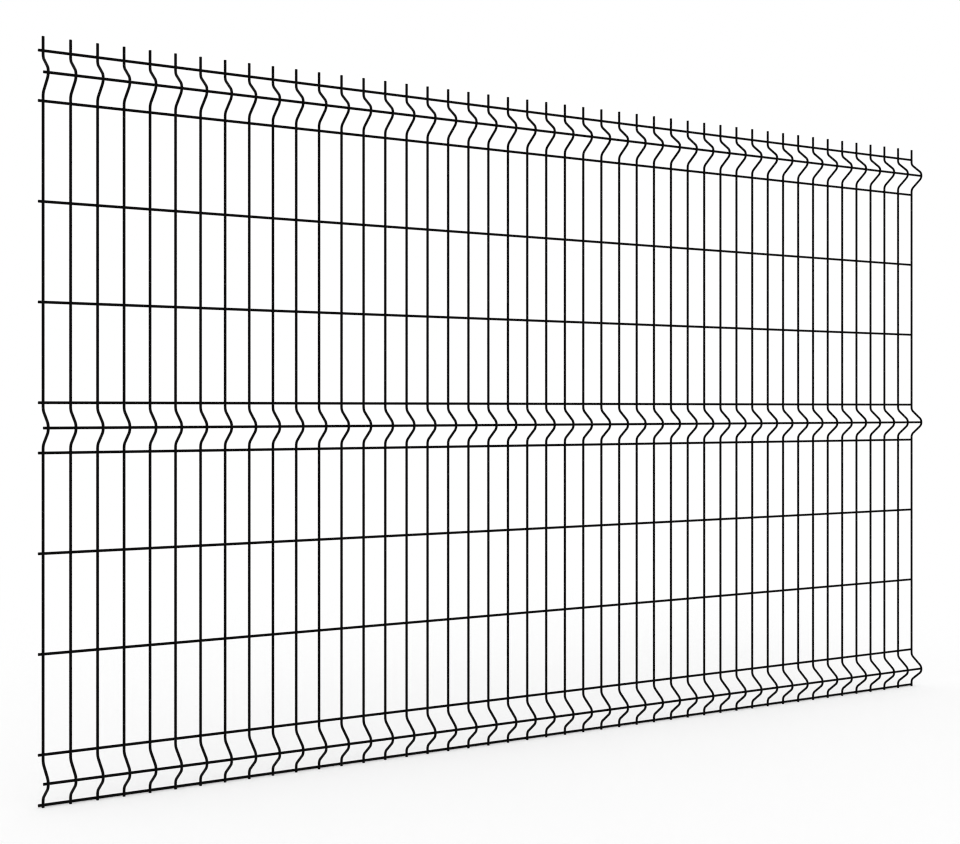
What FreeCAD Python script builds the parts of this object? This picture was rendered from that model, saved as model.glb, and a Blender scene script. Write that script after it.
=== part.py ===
import FreeCAD, Part
import os
import Sketcher

# Welded mesh fence panel. Straight line wires run along it, bent vertical wires stand in front
# of them, and each crossing is a weld. Three V-folds pressed across the panel stiffen it, and
# the vertical wires end above the top line wire in short bare tips.
# X runs along the panel from the middle of its length, and Z up from the bottom line wire's axis.
# The folds point to -Y. The line wires' rear flats lie at Y = 0, where the panel bears on posts.

# Driving sizes, in millimetres. Wire diameters are measured across flats, over the coat.
SIZES = {
    "vertical_count": 46,
    "vertical_pitch": 55,
    "vertical_diameter": 6,
    "line_diameter": 6,
    # Line wire past the axis of the end vertical wire
    "line_overhang": 8.5,
    # Vertical wire below the axis of the bottom line wire, and above that of the top one
    "bottom_overhang": 4,
    "top_tip": 27.5,
    # Tall meshes between two folds: their pitch, and how many stand on each other
    "mesh_height": 200,
    "field_rows": 3,
    # A fold: pitch of the line wires at its two feet, how far its apex stands out, the straight
    # run of vertical wire from a foot's axis to the bend, and the bend's radius on the wire's axis
    "fold_height": 100,
    "fold_depth": 36,
    "bend_start": 7.7,
    "bend_radius": 15,
}
FOLDS = ("bottom", "middle", "top")
FIELDS = ("lower", "upper")

# The round wires are drawn as octagons, turned so that they meet flat to flat at the welds.
WIRE_SIDES = 8
HALF_SIDE_ANGLE = 180 / WIRE_SIDES

X_AXIS = FreeCAD.Vector(1, 0, 0)
Y_AXIS = FreeCAD.Vector(0, 1, 0)
Z_AXIS = FreeCAD.Vector(0, 0, 1)

# A sketch numbers an edge's two ends, its own origin and its upright axis like this.
START_INDEX, END_INDEX = 1, 2
SKETCH_ORIGIN = (-1, START_INDEX)
UPRIGHT_INDEX = -2

doc = FreeCAD.newDocument("mesh_fence_panel")
sheet = doc.addObject("Spreadsheet::Sheet", "Sizes")
for row, (name, size) in enumerate(SIZES.items(), start=1):
    sheet.set(f"A{row}", name)
    sheet.set(f"B{row}", str(size))
    sheet.setAlias(f"B{row}", name)
doc.recompute()

PANEL_RUN = "(Sizes.vertical_count - 1) * Sizes.vertical_pitch"
FOLD_PITCH = "(Sizes.fold_height + Sizes.field_rows * Sizes.mesh_height)"
LINE_AXIS = "-Sizes.line_diameter / 2"
VERTICAL_AXIS = "-Sizes.line_diameter - Sizes.vertical_diameter / 2"


def fold_foot(fold):
    """Height of a fold's lower line wire."""
    return f"{fold} * {FOLD_PITCH}"


def circumradius(diameter):
    """Radius of the octagon's corners, from its size across flats."""
    return f"Sizes.{diameter} / 2 / cos({HALF_SIDE_ANGLE})"


def fold_half():
    """Half a fold's centreline, from a foot to the apex, as (out, height above the fold's middle).

    The foot's arc and the apex's arc share one radius, and the leg between them is the tangent
    that crosses from one to the other. Each arc is drawn as the tangents at its ends and middle.
    """
    radius = "Sizes.bend_radius"
    reach = "(Sizes.fold_height / 2 - Sizes.bend_start)"
    lean = f"(Sizes.fold_depth - 2 * {radius})"
    turn = f"(atan({lean} / {reach}) + asin(2 * {radius} / sqrt({reach}^2 + {lean}^2)))"
    facet = f"{radius} * tan({turn} / 4)"
    foot = ("0", f"{reach} - {facet}")
    leg = (
        f"{radius} * (1 - cos({turn})) - {facet} * sin({turn})",
        f"{reach} - {radius} * sin({turn}) + {facet} * cos({turn})",
    )
    apex = ("Sizes.fold_depth", f"{radius} * tan({turn} / 2)")
    return foot, leg, apex


def measure(sketch, direction, point, name, expression):
    """Holds a sketch's point at a distance from the sketch's origin that follows the sheet."""
    distance = sketch.evalExpression(expression)
    index = sketch.addConstraint(
        Sketcher.Constraint(direction, *SKETCH_ORIGIN, *point, distance)
    )
    sketch.renameConstraint(index, name)
    sketch.setExpression(f"Constraints.{name}", expression)


def vertical_path():
    """Centreline of a vertical wire, from its lower end up, with the folds to the sketch's right."""
    path = doc.addObject("Sketcher::SketchObject", "vertical_wire_path")
    path.Placement.Rotation = FreeCAD.Rotation(-Y_AXIS, Z_AXIS, -X_AXIS, "XYZ")
    half = fold_half()
    points = [("0", "0")]
    for fold in range(len(FOLDS)):
        middle = f"Sizes.bottom_overhang + {fold_foot(fold)} + Sizes.fold_height / 2"
        points += [(out, f"{middle} - ({height})") for out, height in half]
        points += [(out, f"{middle} + ({height})") for out, height in reversed(half)]
    top_foot = f"{fold_foot(len(FOLDS) - 1)} + Sizes.fold_height"
    points.append(("0", f"Sizes.bottom_overhang + {top_foot} + Sizes.top_tip"))

    corners = [FreeCAD.Vector(*map(path.evalExpression, point)) for point in points]
    path.addGeometry([Part.LineSegment(*ends) for ends in zip(corners, corners[1:])])
    path.addConstraint(Sketcher.Constraint("Coincident", 0, START_INDEX, *SKETCH_ORIGIN))
    for edge, (out, height) in enumerate(points[1:]):
        end = (edge, END_INDEX)
        if edge + 1 < path.GeometryCount:
            path.addConstraint(Sketcher.Constraint("Coincident", *end, edge + 1, START_INDEX))
        if out == "0":
            path.addConstraint(Sketcher.Constraint("PointOnObject", *end, UPRIGHT_INDEX))
        else:
            measure(path, "DistanceX", end, f"out_{edge}", out)
        measure(path, "DistanceY", end, f"height_{edge}", height)
    return path


def wire_section():
    """Octagonal section of a vertical wire, flat to the front, rear and sides."""
    section = doc.addObject("Part::RegularPolygon", "vertical_wire_section")
    section.Polygon = WIRE_SIDES
    section.setExpression("Circumradius", circumradius("vertical_diameter"))
    section.Placement.Rotation = FreeCAD.Rotation(Z_AXIS, HALF_SIDE_ANGLE)
    return section


def vertical_wire(number, path, section):
    """One bent wire, numbered from the left end, in front of all the line wires."""
    wire = doc.addObject("Part::Sweep", f"vertical_wire_{number:02d}")
    wire.Sections = [section]
    wire.Spine = (path, [f"Edge{edge + 1}" for edge in range(path.GeometryCount)])
    wire.Solid = True
    wire.Transition = "Right corner"
    place = f"({number} - 1) * Sizes.vertical_pitch - {PANEL_RUN} / 2"
    wire.setExpression("Placement.Base.x", place)
    wire.setExpression("Placement.Base.y", VERTICAL_AXIS)
    wire.setExpression("Placement.Base.z", "-Sizes.bottom_overhang")
    return wire


def line_wire(name, height, depth="0"):
    """One straight wire along the whole panel, behind the vertical wires at that height."""
    wire = doc.addObject("Part::Prism", name)
    wire.Polygon = WIRE_SIDES
    wire.setExpression("Circumradius", circumradius("line_diameter"))
    wire.setExpression("Height", f"{PANEL_RUN} + 2 * Sizes.line_overhang")
    flats_square = FreeCAD.Rotation(Z_AXIS, HALF_SIDE_ANGLE)
    along_panel = FreeCAD.Rotation(Y_AXIS, 90)
    wire.Placement.Rotation = along_panel.multiply(flats_square)
    wire.setExpression("Placement.Base.x", f"-{PANEL_RUN} / 2 - Sizes.line_overhang")
    wire.setExpression("Placement.Base.y", f"{LINE_AXIS} - {depth}")
    wire.setExpression("Placement.Base.z", height)
    return wire


pieces = []

# Each fold has a line wire at its two feet, and one inside its apex.
for fold, place in enumerate(FOLDS):
    foot = fold_foot(fold)
    apex_height = f"{foot} + Sizes.fold_height / 2"
    pieces.append(line_wire(f"{place}_fold_lower_wire", foot))
    pieces.append(line_wire(f"{place}_fold_apex_wire", apex_height, "Sizes.fold_depth"))
    pieces.append(line_wire(f"{place}_fold_upper_wire", f"{foot} + Sizes.fold_height"))

# Between two folds the panel is flat, with a line wire after each mesh but the last.
for field, place in enumerate(FIELDS):
    for row in range(1, int(sheet.field_rows)):
        height = f"{fold_foot(field)} + Sizes.fold_height + {row} * Sizes.mesh_height"
        pieces.append(line_wire(f"{place}_field_wire_{row}", height))

path = vertical_path()
section = wire_section()
for number in range(1, int(sheet.vertical_count) + 1):
    pieces.append(vertical_wire(number, path, section))

doc.recompute()
for item in doc.Objects:
    if "Invalid" in item.State or "Error" in item.State:
        raise RuntimeError(f"{item.Label} did not build")
for piece in pieces:
    if piece.Shape.isNull() or not piece.Shape.isValid():
        raise RuntimeError(f"{piece.Label} has no sound shape")

os.makedirs("parts", exist_ok=True)
for piece in pieces:
    piece.Shape.exportStep(f"parts/{piece.Label}.step")
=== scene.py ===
import math
import random

import bpy
import numpy as np
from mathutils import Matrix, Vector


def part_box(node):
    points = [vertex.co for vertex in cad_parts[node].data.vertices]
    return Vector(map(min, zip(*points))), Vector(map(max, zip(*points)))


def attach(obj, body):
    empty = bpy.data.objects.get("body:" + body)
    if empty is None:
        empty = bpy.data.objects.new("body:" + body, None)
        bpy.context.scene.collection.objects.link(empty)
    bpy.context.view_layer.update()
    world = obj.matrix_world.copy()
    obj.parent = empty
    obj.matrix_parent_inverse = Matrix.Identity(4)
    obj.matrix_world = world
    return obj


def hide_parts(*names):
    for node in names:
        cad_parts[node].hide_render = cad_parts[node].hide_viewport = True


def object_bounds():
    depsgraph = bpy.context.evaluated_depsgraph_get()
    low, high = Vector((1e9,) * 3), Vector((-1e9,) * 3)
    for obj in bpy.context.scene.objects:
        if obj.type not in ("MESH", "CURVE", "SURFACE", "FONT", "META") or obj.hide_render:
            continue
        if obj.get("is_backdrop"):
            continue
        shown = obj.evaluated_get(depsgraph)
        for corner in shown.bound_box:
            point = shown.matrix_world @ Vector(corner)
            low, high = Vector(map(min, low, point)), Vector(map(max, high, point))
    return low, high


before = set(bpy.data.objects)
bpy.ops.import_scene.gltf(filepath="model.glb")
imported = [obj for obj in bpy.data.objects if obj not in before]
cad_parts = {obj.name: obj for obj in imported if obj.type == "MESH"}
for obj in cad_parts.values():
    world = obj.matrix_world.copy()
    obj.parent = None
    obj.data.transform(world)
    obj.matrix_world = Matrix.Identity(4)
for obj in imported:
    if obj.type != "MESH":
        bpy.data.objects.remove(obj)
cad_low, cad_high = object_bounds()


# Line wires: thirteen straight steel wires along the whole panel, behind the vertical ones.
# They are drawn, straightened and sheared to length. The welded mesh is then galvanised and
# stoved in black powder, which rounds the sheared ends.

MM = 0.001
WIRE_SIDES = 24
# Distance between the rings of a straight stretch
RUN_SPACING = 50 * MM

# A sheared end under its coat: how far each ring stands back from it, and its share of the radius
SHEARED_END = (
    (0.00 * MM, 0.66),
    (0.03 * MM, 0.80),
    (0.18 * MM, 0.92),
    (0.45 * MM, 0.98),
    (0.90 * MM, 1.00),
)
# Steepest tilt of a sheared end, and the least and most of it that an end has
SHEAR_SLOPE = 0.06
SHEAR_SHARES = (0.4, 1.0)
LINE_SHEAR_SEED = 13

# The coat's patterns: how fine each is, and how many finer layers it has
PEEL_SCALE, PEEL_DETAIL = 700, 1
GRAIN_SCALE, GRAIN_DETAIL = 5200, 2
PATCH_SCALE, PATCH_DETAIL = 16, 3
# Sum of patch and peel where the film starts to thin, and where it is thinnest
THIN_FROM, THIN_AT = 0.7, 1.35
# Blender's numbers for the factor, the two colours and the result of a mix of colours
MIX_FACTOR, MIX_FIRST, MIX_SECOND, MIX_RESULT = 0, 6, 7, 2

# Share of a bake map's row that stays bare on each side of what lies on it
MAP_MARGIN = 0.05


def add_node(tree, kind, inputs, **settings):
    """A new shader node, with its settings made and its inputs linked or filled in."""
    node = tree.nodes.new(kind)
    for name, value in settings.items():
        setattr(node, name, value)
    for name, value in inputs.items():
        if isinstance(value, bpy.types.NodeSocket):
            tree.links.new(value, node.inputs[name])
        else:
            node.inputs[name].default_value = value
    return node


def powder_coat_group():
    """Stoved powder: an orange peel of soft dimples, fine grains, and patches of thinner film."""
    group = bpy.data.node_groups.new("powder_coat", "ShaderNodeTree")
    for name, kind in (
        ("Film", "NodeSocketColor"),
        ("Thin film", "NodeSocketColor"),
        ("Roughness", "NodeSocketFloat"),
        ("Roughness spread", "NodeSocketFloat"),
        ("Grain depth", "NodeSocketFloat"),
    ):
        group.interface.new_socket(name, in_out="INPUT", socket_type=kind)
    for name, kind in (
        ("Colour", "NodeSocketColor"),
        ("Roughness", "NodeSocketFloat"),
        ("Height", "NodeSocketFloat"),
    ):
        group.interface.new_socket(name, in_out="OUTPUT", socket_type=kind)

    given = group.nodes.new("NodeGroupInput").outputs
    place = group.nodes.new("ShaderNodeTexCoord").outputs["Object"]

    def noise(scale, detail):
        inputs = {"Vector": place, "Scale": scale, "Detail": detail}
        return add_node(group, "ShaderNodeTexNoise", inputs).outputs["Fac"]

    def result(operation, *inputs):
        numbered = dict(enumerate(inputs))
        return add_node(group, "ShaderNodeMath", numbered, operation=operation).outputs["Value"]

    peel = noise(PEEL_SCALE, PEEL_DETAIL)
    grain = noise(GRAIN_SCALE, GRAIN_DETAIL)
    patches = noise(PATCH_SCALE, PATCH_DETAIL)

    # Powder flows off the crowns of the peel as it melts, and some stretches of wire get less.
    crowns = {
        "Value": result("ADD", patches, peel),
        "From Min": THIN_FROM,
        "From Max": THIN_AT,
    }
    thin = add_node(group, "ShaderNodeMapRange", crowns).outputs["Result"]
    film = {MIX_FACTOR: thin, MIX_FIRST: given["Film"], MIX_SECOND: given["Thin film"]}
    colour = add_node(group, "ShaderNodeMix", film, data_type="RGBA").outputs[MIX_RESULT]

    # Patches and grain each swing about a half, so that uneven swings about 0.
    uneven = result("SUBTRACT", result("ADD", patches, grain), 1)
    roughness = result("MULTIPLY_ADD", uneven, given["Roughness spread"], given["Roughness"])
    height = result("MULTIPLY_ADD", grain, given["Grain depth"], peel)
    outputs = {"Colour": colour, "Roughness": roughness, "Height": height}
    add_node(group, "NodeGroupOutput", outputs)
    return group


powder_coat = powder_coat_group()


def coated_steel(name, shine, peel_depth, coat):
    """Steel under black powder. coat holds this piece's own values for the powder coat."""
    material = bpy.data.materials.new(name)
    material.use_nodes = True
    tree = material.node_tree
    film = add_node(tree, "ShaderNodeGroup", coat, node_tree=powder_coat).outputs
    bump = add_node(tree, "ShaderNodeBump", {"Height": film["Height"], "Distance": peel_depth})
    shader = tree.nodes["Principled BSDF"]
    shader.inputs["Specular IOR Level"].default_value = shine
    tree.links.new(film["Colour"], shader.inputs["Base Color"])
    tree.links.new(film["Roughness"], shader.inputs["Roughness"])
    tree.links.new(bump.outputs["Normal"], shader.inputs["Normal"])
    return material


def straight_run(start, end):
    """Places from start to end, both included, about a ring spacing apart."""
    steps = max(1, round(abs(end - start) / RUN_SPACING))
    return np.linspace(start, end, steps + 1)


def shear_cut(turns, radius, shears):
    """How far the points of an end's rings stand back along the wire: a slightly tilted cut."""
    backs = np.array(SHEARED_END)[:, 0]
    high_side = shears.uniform(0, 2 * math.pi)
    slope = shears.uniform(*SHEAR_SHARES) * SHEAR_SLOPE * radius
    return backs[:, None] + slope * (1 - np.cos(turns - high_side))


def wire_rings(centres, headings, side, radius, shears):
    """Rings of points round a wire's centreline. side is square to every heading."""
    turns = np.linspace(0, 2 * math.pi, WIRE_SIDES, endpoint=False)
    shares = np.array(SHEARED_END)[:, 1]
    inner = len(centres) - 2
    repeats = [len(shares)] + [1] * inner + [len(shares)]
    centres = np.repeat(centres, repeats, axis=0)[:, None]
    headings = np.repeat(headings, repeats, axis=0)[:, None]
    radii = radius * np.concatenate([shares, np.ones(inner), shares[::-1]])[:, None, None]
    first_cut = shear_cut(turns, radius, shears)
    last_cut = -shear_cut(turns, radius, shears)[::-1]
    shifts = np.concatenate([first_cut, np.zeros((inner, WIRE_SIDES)), last_cut])[:, :, None]

    across = np.cross(headings, side)
    spokes = np.cos(turns)[:, None] * np.array(side) + np.sin(turns)[:, None] * across
    return centres + radii * spokes + shifts * headings


def tube_mesh(rings):
    """Points and faces of a closed tube: bands between its rings, then a fan at each end."""
    count, sides = rings.shape[:2]
    points = np.concatenate([rings.reshape(-1, 3), rings[[0, -1]].mean(axis=1)])
    first_hub, last_hub = len(points) - 2, len(points) - 1
    last_ring = (count - 1) * sides
    around = [(turn, (turn + 1) % sides) for turn in range(sides)]
    faces = [
        (start + a, start + b, start + sides + b, start + sides + a)
        for start in range(0, last_ring, sides)
        for a, b in around
    ]
    faces += [(first_hub, b, a) for a, b in around]
    faces += [(last_hub, last_ring + a, last_ring + b) for a, b in around]
    return points, faces


def tube_map(rings):
    """Where each corner of tube_mesh's faces goes on the piece's bake map.

    The tube's skin is cut across into stretches, laid in rows one above the other, and both its
    ends go in a last row.
    """
    sides = rings.shape[1]
    steps = np.linalg.norm(np.diff(rings, axis=0), axis=2).mean(axis=1)
    ends = np.cumsum(steps)
    starts = ends - steps
    waist = rings[len(rings) // 2]
    girth = np.linalg.norm(waist - np.roll(waist, 1, axis=0), axis=1).sum()
    # As many rows as make the map about as tall as it is wide
    rows = max(1, round(math.sqrt(ends[-1] / girth)))
    row = np.minimum((starts + ends) / 2 / ends[-1] * rows, rows - 1).astype(int)
    row_starts = np.array([starts[row == number].min() for number in range(rows)])[row]
    longest = (ends - row_starts).max()

    turn = MAP_MARGIN + (1 - 2 * MAP_MARGIN) * np.arange(sides + 1) / sides
    height = (row[:, None] + turn) / (rows + 1)
    low, high = height[:, :-1], height[:, 1:]
    left = np.broadcast_to(((starts - row_starts) / longest)[:, None], low.shape)
    right = np.broadcast_to(((ends - row_starts) / longest)[:, None], low.shape)
    bands = np.stack([left, low, left, high, right, high, right, low], axis=-1)

    angles = 2 * math.pi * np.arange(sides + 1) / sides
    rim = np.column_stack([np.cos(angles), np.sin(angles)]) * (0.5 - MAP_MARGIN)
    hub = np.zeros((sides, 2))
    first_fan = np.stack([hub, rim[1:], rim[:-1]], axis=1)
    last_fan = np.stack([hub, rim[:-1], rim[1:]], axis=1)
    caps = [
        (fan + (0.5 + number, rows + 0.5)) / (rows + 1)
        for number, fan in enumerate((first_fan, last_fan))
    ]
    return np.concatenate([part.reshape(-1, 2) for part in (bands, *caps)])


def add_piece(name, points, faces, bake_map, material):
    """A smooth piece of the panel, with the map that its finish is baked on."""
    mesh = bpy.data.meshes.new(name)
    mesh.from_pydata(points.tolist(), [], faces)
    mesh.shade_smooth()
    mesh.uv_layers.new(name="OFBake").data.foreach_set("uv", bake_map.ravel())
    mesh.materials.append(material)
    piece = bpy.data.objects.new(name, mesh)
    bpy.context.scene.collection.objects.link(piece)
    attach(piece, "root")
    return piece


line_wire_coat = coated_steel(
    "line_wire_coat",
    shine=0.03,
    peel_depth=0.08 * MM,
    coat={
        "Film": (0.0006, 0.0005, 0.0005, 1),
        "Thin film": (0.0024, 0.0021, 0.0021, 1),
        "Roughness": 0.46,
        "Roughness spread": 0.30,
        "Grain depth": 0.10,
    },
)
line_wires = [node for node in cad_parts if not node.startswith("vertical_wire_")]
line_shears = random.Random(LINE_SHEAR_SEED)
for node in line_wires:
    low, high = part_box(node)
    radius = (high.z - low.z) / 2
    along = straight_run(low.x, high.x)
    axis = (low + high) / 2
    centres = np.column_stack([along, np.full_like(along, axis.y), np.full_like(along, axis.z)])
    headings = np.tile((1.0, 0.0, 0.0), (len(along), 1))
    rings = wire_rings(centres, headings, (0, 0, 1), radius, line_shears)
    wire = add_piece(f"coated_{node}", *tube_mesh(rings), tube_map(rings), line_wire_coat)
    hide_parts(node)


# Vertical wires: forty-six wires of the same coated steel, which stand in front of the line
# wires and end in bare tips. They are welded on straight. A press then folds the whole mesh
# across three times, which bends each wire round at two feet and an apex per fold.

BEND_RADIUS = 15 * MM
# Straight wire from a foot's line wire to where the bend starts
BEND_START = 7.7 * MM
# Turn between the rings of a bend
BEND_STEP = math.radians(6)
VERTICAL_SHEAR_SEED = 46

vertical_wires = [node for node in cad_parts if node.startswith("vertical_wire_")]


def axis_of(node):
    """Middle of a node's box."""
    low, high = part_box(node)
    return (low + high) / 2


def fold_path(lower, apex, upper):
    """Rows of (out, height, heading from upright) across one fold, given its line wires' axes."""
    depth = lower.y - apex.y
    reach = (upper.z - lower.z) / 2 - BEND_START
    lean = depth - 2 * BEND_RADIUS
    turn = math.atan2(lean, reach) + math.asin(2 * BEND_RADIUS / math.hypot(reach, lean))
    swing = np.linspace(0, turn, round(turn / BEND_STEP) + 1)
    # Each arc: its middle, which side of it the wire passes, and the headings along it
    arcs = (
        (BEND_RADIUS, -reach, -1, swing),
        (depth - BEND_RADIUS, 0, 1, np.concatenate([swing[::-1], -swing[1:]])),
        (BEND_RADIUS, reach, -1, -swing[::-1]),
    )
    return np.concatenate([
        np.column_stack([
            out + side * BEND_RADIUS * np.cos(heading),
            apex.z + rise - side * BEND_RADIUS * np.sin(heading),
            heading,
        ])
        for out, rise, side, heading in arcs
    ])


def upright_path(bottom, top):
    """Rows of (out, height, heading from upright) along a whole vertical wire."""
    rows = [(0, bottom, 0)]
    height = bottom
    for fold in ("bottom", "middle", "top"):
        axes = [axis_of(f"{fold}_fold_{place}_wire") for place in ("lower", "apex", "upper")]
        across = fold_path(*axes)
        rows += [(0, rise, 0) for rise in straight_run(height, across[0, 1])[1:-1]]
        rows += across.tolist()
        height = across[-1, 1]
    rows += [(0, rise, 0) for rise in straight_run(height, top)[1:]]
    return np.array(rows)


vertical_wire_coat = coated_steel(
    "vertical_wire_coat",
    shine=0.03,
    peel_depth=0.08 * MM,
    coat={
        "Film": (0.0006, 0.0005, 0.0005, 1),
        "Thin film": (0.0024, 0.0021, 0.0021, 1),
        "Roughness": 0.44,
        "Roughness spread": 0.30,
        "Grain depth": 0.10,
    },
)
vertical_shears = random.Random(VERTICAL_SHEAR_SEED)
for node in vertical_wires:
    low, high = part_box(node)
    radius = (high.x - low.x) / 2
    out, height, heading = upright_path(low.z, high.z).T
    along = np.full_like(out, (low.x + high.x) / 2)
    centres = np.column_stack([along, high.y - radius - out, height])
    headings = np.column_stack([np.zeros_like(out), -np.sin(heading), np.cos(heading)])
    rings = wire_rings(centres, headings, (1, 0, 0), radius, vertical_shears)
    wire = add_piece(f"coated_{node}", *tube_mesh(rings), tube_map(rings), vertical_wire_coat)
    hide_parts(node)


# Welds: each crossing is resistance welded, so the two wires sink together in a small neck of
# squeezed steel. The powder fills its edges, which leaves a smooth hollow from wire to wire.

WELD_SIDES = 18
WELD_RINGS = 7
# Radius of a neck where it runs out on the wires, and at its waist
WELD_FOOT = 2.7 * MM
WELD_WAIST = 2.3 * MM
# How deep the neck's ends lie inside the wires
WELD_ROOT = 0.06 * MM
# How necks differ: the waist's share of the usual one, and how far the neck is out of round
WAIST_SHARES = (0.92, 1.06)
OVAL_SHARES = (0, 0.03)
WELD_SEED = 598
# A bake map's cells, one for the weld at each vertical wire, with two to spare
MAP_COLUMNS, MAP_ROWS = 6, 8


def fall(away, radius):
    """How far a round surface falls away from its crest, at a distance across it."""
    return radius - np.sqrt(radius**2 - away**2)


def weld_rings(line_radius, vertical_radius, bend, lumps):
    """Rings of one neck about the point where the wires meet, from the line wire to the other.

    bend is the radius of the vertical wire's inner side where it passes the line wire in a bend.
    """
    turns = np.linspace(0, 2 * math.pi, WELD_SIDES, endpoint=False)
    share = np.linspace(0, 1, WELD_RINGS)[:, None]
    waist = WELD_WAIST * lumps.uniform(*WAIST_SHARES)
    oval = 1 + lumps.uniform(*OVAL_SHARES) * np.cos(2 * turns + lumps.uniform(0, 2 * math.pi))
    spread = (waist + (WELD_FOOT - waist) * (2 * share - 1) ** 2) * oval
    along, up = spread * np.cos(turns), spread * np.sin(turns)
    on_line = fall(up, line_radius) + WELD_ROOT
    on_vertical = -fall(along, vertical_radius) - WELD_ROOT
    if bend:
        on_vertical = on_vertical + fall(up, bend)
    # Slow at both ends, so that the neck flares out along each wire
    lift = share**2 * (3 - 2 * share)
    return np.stack([along, on_line + (on_vertical - on_line) * lift, up], axis=-1)


weld_coat = coated_steel(
    "weld_coat",
    shine=0.03,
    peel_depth=0.06 * MM,
    coat={
        "Film": (0.0006, 0.0005, 0.0005, 1),
        "Thin film": (0.0018, 0.0016, 0.0016, 1),
        "Roughness": 0.40,
        "Roughness spread": 0.24,
        "Grain depth": 0.25,
    },
)
lumps = random.Random(WELD_SEED)
for line in line_wires:
    line_low, line_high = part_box(line)
    line_radius = (line_high.z - line_low.z) / 2
    points, faces, maps = [], [], []
    for number, node in enumerate(vertical_wires):
        low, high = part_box(node)
        vertical_radius = (high.x - low.x) / 2
        bend = BEND_RADIUS - vertical_radius if "apex" in line else None
        rings = weld_rings(line_radius, vertical_radius, bend, lumps)
        meeting = ((low.x + high.x) / 2, line_low.y, (line_low.z + line_high.z) / 2)
        neck_points, neck_faces = tube_mesh(rings + meeting)
        first = sum(map(len, points))
        points.append(neck_points)
        faces += [tuple(first + corner for corner in face) for face in neck_faces]
        cell = (number % MAP_COLUMNS, number // MAP_COLUMNS)
        maps.append((tube_map(rings) + cell) / (MAP_COLUMNS, MAP_ROWS))
    name = line.replace("_wire", "_welds")
    add_piece(name, np.concatenate(points), faces, np.concatenate(maps), weld_coat)


# Floor and light: a pale floor under the panel that turns to plain white further out, a white
# room that lights evenly, and one broad soft lamp from above the front left.

FLOOR_RADIUS = 40
FLOOR_SIDES = 64
FLOOR_COLOUR = (0.96, 0.96, 0.96, 1)
FLOOR_ROUGHNESS = 0.9
# The camera sees this share of plain white in the floor at the panel. The share rises from the
# first distance out, and is full at the second.
WHITE_SHARE = 0.3
WHITE_FROM, WHITE_AT = 1.6, 5.0
ROOM_LIGHT = 0.80
LAMP_LIGHT = 1.05
LAMP_SPREAD = math.radians(40)
# How the lamp is turned about X and Y, from shining straight down
LAMP_TURNS = (math.radians(38), math.radians(-22))

floor_mesh = bpy.data.meshes.new("floor")
floor_turns = [2 * math.pi * number / FLOOR_SIDES for number in range(FLOOR_SIDES)]
floor_rim = [
    (FLOOR_RADIUS * math.cos(turn), FLOOR_RADIUS * math.sin(turn), cad_low.z)
    for turn in floor_turns
]
floor_mesh.from_pydata(floor_rim, [], [range(FLOOR_SIDES)])
floor = bpy.data.objects.new("floor", floor_mesh)
bpy.context.scene.collection.objects.link(floor)
floor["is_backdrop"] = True


def seen_directly(tree):
    """1 for what the camera sees, mirrored or through glass too, and 0 for light on things."""
    rays = tree.nodes.new("ShaderNodeLightPath").outputs
    seen = rays["Is Camera Ray"]
    for kind in ("Is Glossy Ray", "Is Transmission Ray"):
        both = {0: seen, 1: rays[kind]}
        seen = add_node(tree, "ShaderNodeMath", both, operation="MAXIMUM").outputs["Value"]
    return seen


floor_finish = bpy.data.materials.new("floor")
floor_finish.use_nodes = True
floor_tree = floor_finish.node_tree
floor_shader = floor_tree.nodes["Principled BSDF"]
floor_shader.inputs["Base Color"].default_value = FLOOR_COLOUR
floor_shader.inputs["Roughness"].default_value = FLOOR_ROUGHNESS
floor_shader.inputs["Specular IOR Level"].default_value = 0.0
floor_place = floor_tree.nodes.new("ShaderNodeTexCoord").outputs["Object"]
floor_distance = add_node(
    floor_tree, "ShaderNodeVectorMath", {0: floor_place}, operation="LENGTH"
).outputs["Value"]
floor_fade = add_node(
    floor_tree,
    "ShaderNodeMapRange",
    {
        "Value": floor_distance,
        "From Min": WHITE_FROM,
        "From Max": WHITE_AT,
        "To Min": WHITE_SHARE,
    },
    interpolation_type="SMOOTHSTEP",
).outputs["Result"]
floor_white = add_node(
    floor_tree,
    "ShaderNodeMath",
    {0: floor_fade, 1: seen_directly(floor_tree)},
    operation="MULTIPLY",
).outputs["Value"]
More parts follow.
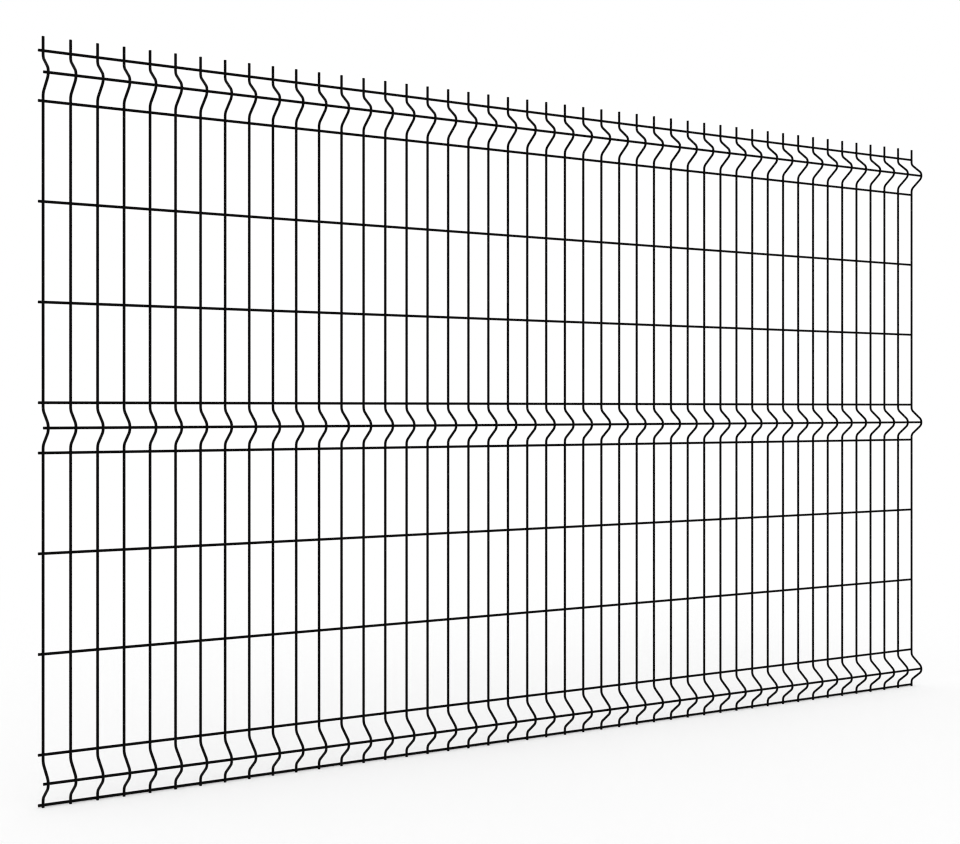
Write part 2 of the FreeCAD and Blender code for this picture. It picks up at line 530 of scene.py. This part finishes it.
floor_glow = floor_tree.nodes.new("ShaderNodeEmission").outputs["Emission"]
floor_looks = add_node(
    floor_tree,
    "ShaderNodeMixShader",
    {0: floor_white, 1: floor_shader.outputs["BSDF"], 2: floor_glow},
).outputs["Shader"]
floor_surface = floor_tree.nodes["Material Output"].inputs["Surface"]
floor_tree.links.new(floor_looks, floor_surface)
floor_mesh.materials.append(floor_finish)

room = bpy.data.worlds.new("room")
room.use_nodes = True
room_tree = room.node_tree
room_strength = add_node(
    room_tree,
    "ShaderNodeMapRange",
    {"Value": seen_directly(room_tree), "To Min": ROOM_LIGHT, "To Max": 1.0},
).outputs["Result"]
room_backdrop = room_tree.nodes["Background"]
room_backdrop.inputs["Color"].default_value = (1, 1, 1, 1)
room_tree.links.new(room_strength, room_backdrop.inputs["Strength"])
bpy.context.scene.world = room

lamp_light = bpy.data.lights.new("soft_lamp", "SUN")
lamp_light.energy = LAMP_LIGHT
lamp_light.angle = LAMP_SPREAD
lamp = bpy.data.objects.new("soft_lamp", lamp_light)
lamp.rotation_euler = (*LAMP_TURNS, 0)
bpy.context.scene.collection.objects.link(lamp)


# Camera: a level view from the front left, at half the panel's height, as in the photograph.
# Its film blurs edges over little more than a pixel, so that wires two pixels wide are crisp.

CAMERA_PLACE = (-2.0788, -2.9954, 0.7872)
# A camera looks straight down until it is turned up to the level.
CAMERA_TILT = math.radians(90)
CAMERA_YAW = math.radians(-31.959)
CAMERA_LENS = 56.3
FILM_WIDTH = 36
HORIZON_SHIFT = -0.0134
EDGE_BLUR = 1.2

camera_view = bpy.data.cameras.new("camera")
camera_view.lens = CAMERA_LENS
camera_view.sensor_width = FILM_WIDTH
camera_view.shift_y = HORIZON_SHIFT
camera = bpy.data.objects.new("camera", camera_view)
camera.location = CAMERA_PLACE
camera.rotation_euler = (CAMERA_TILT, 0, CAMERA_YAW)
bpy.context.scene.collection.objects.link(camera)
bpy.context.scene.camera = camera
bpy.context.scene.view_settings.view_transform = "Standard"
bpy.context.scene.cycles.filter_width = EDGE_BLUR

low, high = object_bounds()
